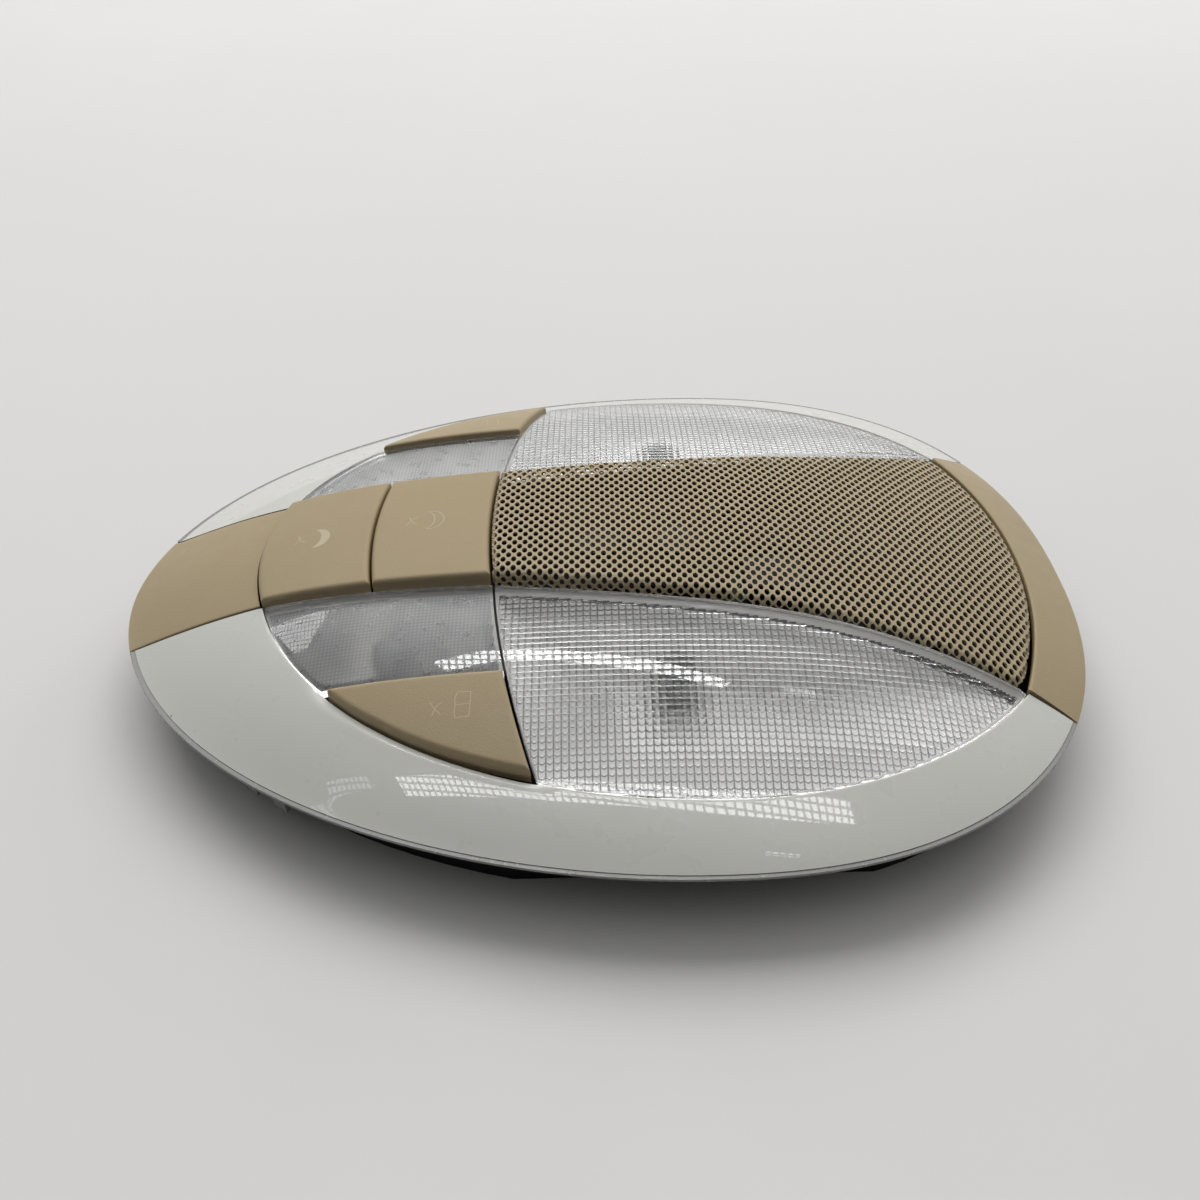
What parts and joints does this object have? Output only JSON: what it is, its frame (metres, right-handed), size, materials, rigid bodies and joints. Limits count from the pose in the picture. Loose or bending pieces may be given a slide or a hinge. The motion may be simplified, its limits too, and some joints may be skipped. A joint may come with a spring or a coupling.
{
  "type": "car dome light",
  "caption": "Egg-shaped car ceiling lamp: milky ring around clear prismatic lenses, push buttons and a perforated grille, fastened flat to the roof by its back.",
  "frame": {"origin": "middle of the outline box, on the flat back face of the housing", "axes": "+X from the pointed front end to the blunt rear end, +Y towards the left side of the car, +Z out of the lens side (down into the cabin when fitted)"},
  "size_m": [0.24, 0.182, 0.0404],
  "materials": {
    "housing_plastic": "black moulded plastic, fine grain",
    "frame_plastic": "light grey moulded plastic",
    "board": "green solder mask",
    "chip_plastic": "black moulded package",
    "relay_plastic": "dark moulded case",
    "capacitor_sleeve": "drawn can, plain",
    "connector_plastic": "black moulded plastic",
    "contact_metal": "stamped, dull",
    "screw_steel": "zinc plated",
    "clip_steel": "spring steel",
    "beige_plastic": "beige, fine satin grain",
    "grille_metal": "beige paint on punched sheet",
    "pad_rubber": "soft silicone",
    "milky_plastic": "milky pearl white, glossy",
    "clear_plastic": "clear, small prisms on the inside",
    "reading_plastic": "clear, fine ribs on the inside",
    "reflector_chrome": "vacuum metallised plastic",
    "bulb_glass": "clear glass",
    "holder_plastic": "heat resistant grey plastic",
    "microphone_plastic": "black moulded plastic",
    "capsule_metal": "satin can"
  },
  "bodies": {
    "lamp": {"rear_housing": "housing_plastic", "centre_frame": "frame_plastic", "circuit_board": "board", "control_chip": "chip_plastic", "relay": "relay_plastic", "capacitors": "capacitor_sleeve", "connector_header": "connector_plastic", "connector_pins": "contact_metal", "frame_screws": "screw_steel", "roof_clips": "clip_steel", "front_cap": "beige_plastic", "rear_cap": "beige_plastic", "grille": "grille_metal", "front_switch_pad": "pad_rubber", "rear_switch_pad": "pad_rubber", "left_switch_pad": "pad_rubber", "right_switch_pad": "pad_rubber", "left_ring": "milky_plastic", "right_ring": "milky_plastic", "left_dome_lens": "clear_plastic", "right_dome_lens": "clear_plastic", "left_reading_lens": "reading_plastic", "right_reading_lens": "reading_plastic", "left_dome_reflector": "reflector_chrome", "right_dome_reflector": "reflector_chrome", "left_reading_reflector": "reflector_chrome", "right_reading_reflector": "reflector_chrome", "left_dome_bulb": "bulb_glass", "right_dome_bulb": "bulb_glass", "left_reading_bulb": "bulb_glass", "right_reading_bulb": "bulb_glass", "left_dome_holder": "holder_plastic", "right_dome_holder": "holder_plastic", "left_reading_holder": "holder_plastic", "right_reading_holder": "holder_plastic", "dome_contacts": "contact_metal", "reading_contacts": "contact_metal", "microphone_housing": "microphone_plastic", "microphone_capsules": "capsule_metal"},
    "front_key": {"front_button": "beige_plastic"},
    "rear_key": {"rear_button": "beige_plastic"},
    "left_key": {"left_reading_button": "beige_plastic"},
    "right_key": {"right_reading_button": "beige_plastic"}
  },
  "joints": [
    {"name": "front_key_press", "type": "slide", "parent": "lamp", "child": "front_key", "axis": [0, 0, -1], "range_m": [0, 0.0012], "stiffness_N_per_m": 300, "springref_m": -0.001, "deforming": ["front_switch_pad"]},
    {"name": "rear_key_press", "type": "slide", "parent": "lamp", "child": "rear_key", "axis": [0, 0, -1], "range_m": [0, 0.0012], "stiffness_N_per_m": 300, "springref_m": -0.001, "deforming": ["rear_switch_pad"]},
    {"name": "left_key_press", "type": "slide", "parent": "lamp", "child": "left_key", "axis": [0, 0, -1], "range_m": [0, 0.0012], "stiffness_N_per_m": 300, "springref_m": -0.001, "deforming": ["left_switch_pad"]},
    {"name": "right_key_press", "type": "slide", "parent": "lamp", "child": "right_key", "axis": [0, 0, -1], "range_m": [0, 0.0012], "stiffness_N_per_m": 300, "springref_m": -0.001, "deforming": ["right_switch_pad"]}
  ]
}
